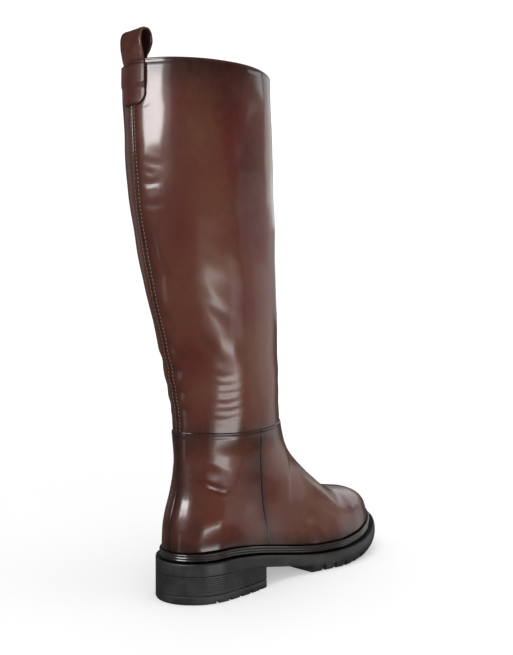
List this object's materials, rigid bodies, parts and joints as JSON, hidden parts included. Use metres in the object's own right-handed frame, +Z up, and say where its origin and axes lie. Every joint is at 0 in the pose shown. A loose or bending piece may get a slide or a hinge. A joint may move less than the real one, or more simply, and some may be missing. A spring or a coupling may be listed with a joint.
{
  "type": "knee-high boot",
  "caption": "Right knee-high pull-on boot: smooth leather foot and shaft, back pull loop, welt, lugged rubber sole and low block heel.",
  "frame": {"origin": "on the floor under the middle of the heel's tread", "axes": "+Z up from the floor to the collar, +Y from the heel to the toe, +X to the wearer's right, the outer side"},
  "size_m": [0.1108, 0.3104, 0.4485],
  "materials": {
    "boot_leather": "burnished brown calf, polished, darker at the seams, collar, heel and toe",
    "trim_leather": "the same brown leather, a little darker and less polished",
    "lining_leather": "smooth unpolished tan lining leather",
    "insole_leather": "matt tan sock leather",
    "welt_leather": "black-brown waxed welt with two beads",
    "sole_rubber": "satin black moulded rubber with fine lines on the heel",
    "thread": "waxed thread"
  },
  "bodies": {
    "root": {"outsole": "sole_rubber", "heel": "sole_rubber", "heel_lift": "sole_rubber", "welt": "welt_leather", "insole": "insole_leather", "upper": "boot_leather", "shaft": "boot_leather", "back_patch": "trim_leather", "pull_loop": "trim_leather"}
  },
  "joints": []
}
